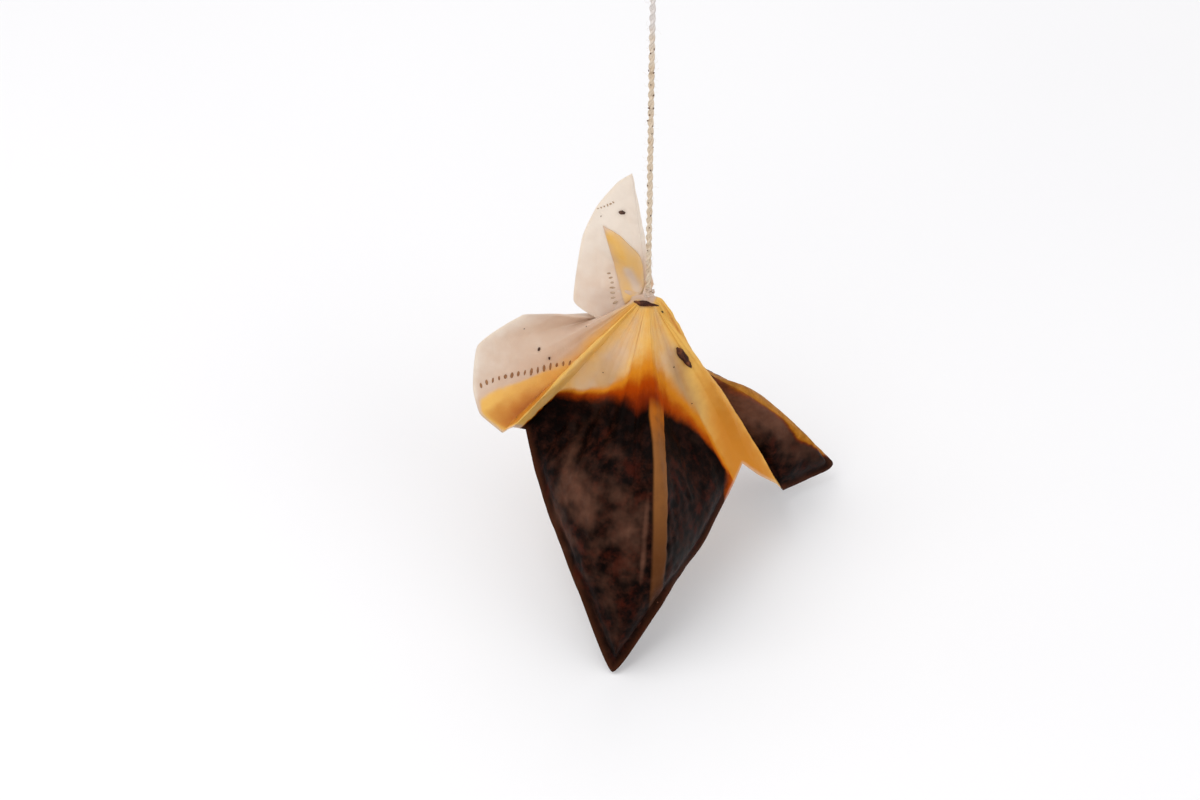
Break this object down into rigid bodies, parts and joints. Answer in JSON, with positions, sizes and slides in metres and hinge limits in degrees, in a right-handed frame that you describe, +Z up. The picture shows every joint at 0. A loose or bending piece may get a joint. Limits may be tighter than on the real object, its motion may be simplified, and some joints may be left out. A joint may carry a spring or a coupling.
{
  "type": "used tea bag",
  "caption": "Used tea bag hanging by its string: a pillow of stained filter paper gathered at the knot, empty corners as pale ears, wet leaves in hanging pouches, plain folded tag.",
  "frame": {"origin": "middle of the tag's front face, where fingers or a clip hold it", "axes": "+Z up along the taut string, -Y out of the tag's front face, +X to the right seen from the front"},
  "size_m": [0.057, 0.0462, 0.1407],
  "materials": {
    "filter_paper": "wet, stained, slightly translucent",
    "wet_leaves": "wet",
    "stained_string": "twisted cotton",
    "tag_card": "uncoated card",
    "leaf_scrap": "wet"
  },
  "bodies": {
    "root": {"filter_paper_bag": "filter_paper", "wet_leaves_front": "wet_leaves", "wet_leaves_rear": "wet_leaves", "neck_tie": "stained_string", "string": "stained_string", "paper_tag": "tag_card", "leaf_scrap_neck": "leaf_scrap", "leaf_scrap_band": "leaf_scrap"}
  },
  "joints": []
}
